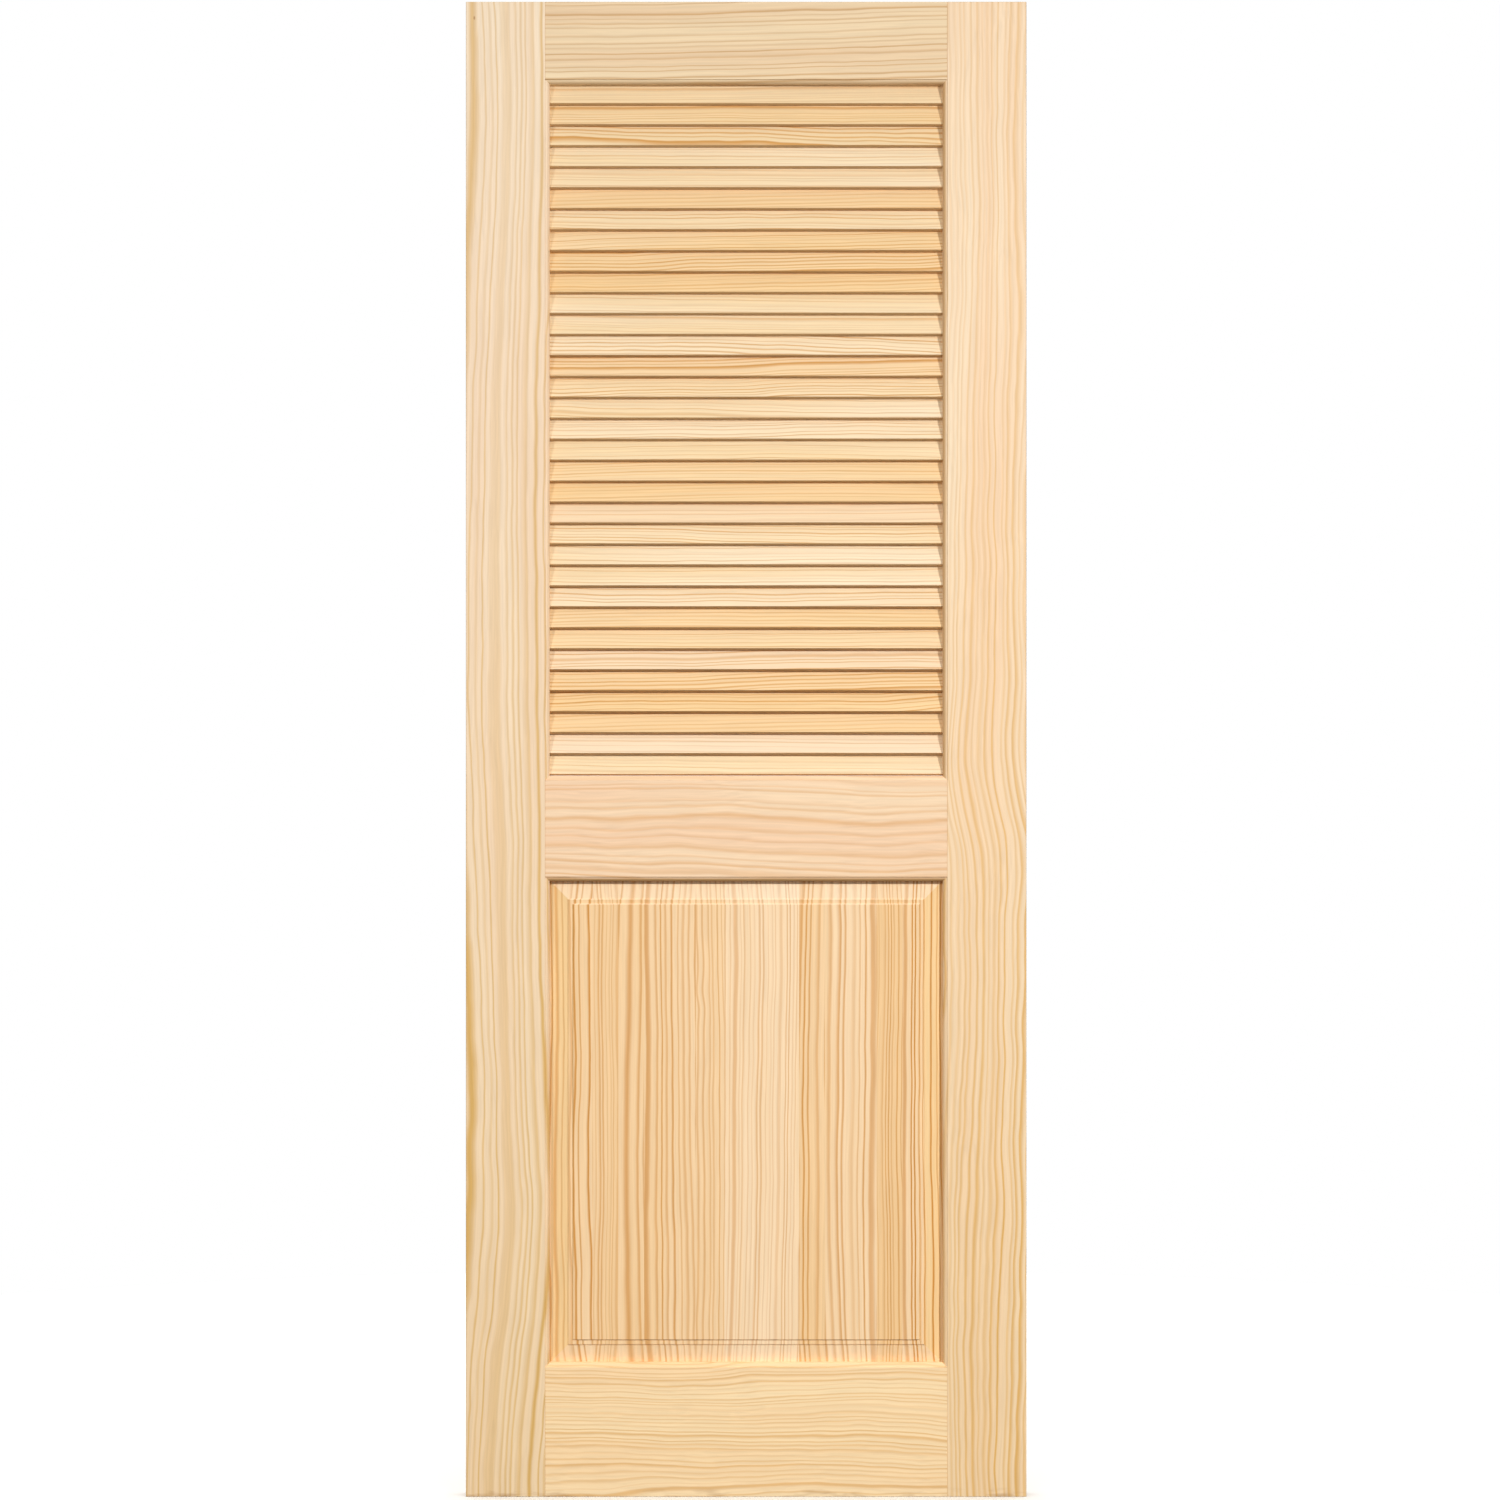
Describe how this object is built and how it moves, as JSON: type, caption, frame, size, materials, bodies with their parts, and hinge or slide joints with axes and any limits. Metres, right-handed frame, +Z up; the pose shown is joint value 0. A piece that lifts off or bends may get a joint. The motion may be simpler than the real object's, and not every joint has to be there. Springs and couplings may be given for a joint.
{
  "type": "louvre-over-panel door leaf",
  "caption": "Pine door leaf: fixed sloping louvre slats above a lock rail, a raised panel below, in moulded stiles and rails with coped joints.",
  "frame": {"origin": "foot of the left stile's outer edge, half way through the thickness", "axes": "+X across the leaf to the other stile, +Y from the front face to the back, +Z up"},
  "size_m": [0.762, 0.035, 2.032],
  "materials": {
    "stile_pine": "planed and sanded, unfinished",
    "rail_pine": "planed and sanded, unfinished",
    "slat_pine": "planed and sanded, unfinished",
    "panel_pine": "planed and sanded, unfinished"
  },
  "bodies": {
    "root": {"bottom_rail": "rail_pine", "left_stile": "stile_pine", "lock_rail": "rail_pine", "raised_panel": "panel_pine", "right_stile": "stile_pine", "slat_01": "slat_pine", "slat_02": "slat_pine", "slat_03": "slat_pine", "slat_04": "slat_pine", "slat_05": "slat_pine", "slat_06": "slat_pine", "slat_07": "slat_pine", "slat_08": "slat_pine", "slat_09": "slat_pine", "slat_10": "slat_pine", "slat_11": "slat_pine", "slat_12": "slat_pine", "slat_13": "slat_pine", "slat_14": "slat_pine", "slat_15": "slat_pine", "slat_16": "slat_pine", "slat_17": "slat_pine", "slat_18": "slat_pine", "slat_19": "slat_pine", "slat_20": "slat_pine", "slat_21": "slat_pine", "slat_22": "slat_pine", "slat_23": "slat_pine", "slat_24": "slat_pine", "slat_25": "slat_pine", "slat_26": "slat_pine", "slat_27": "slat_pine", "slat_28": "slat_pine", "slat_29": "slat_pine", "slat_30": "slat_pine", "slat_31": "slat_pine", "slat_32": "slat_pine", "slat_33": "slat_pine", "top_rail": "rail_pine"}
  },
  "joints": []
}
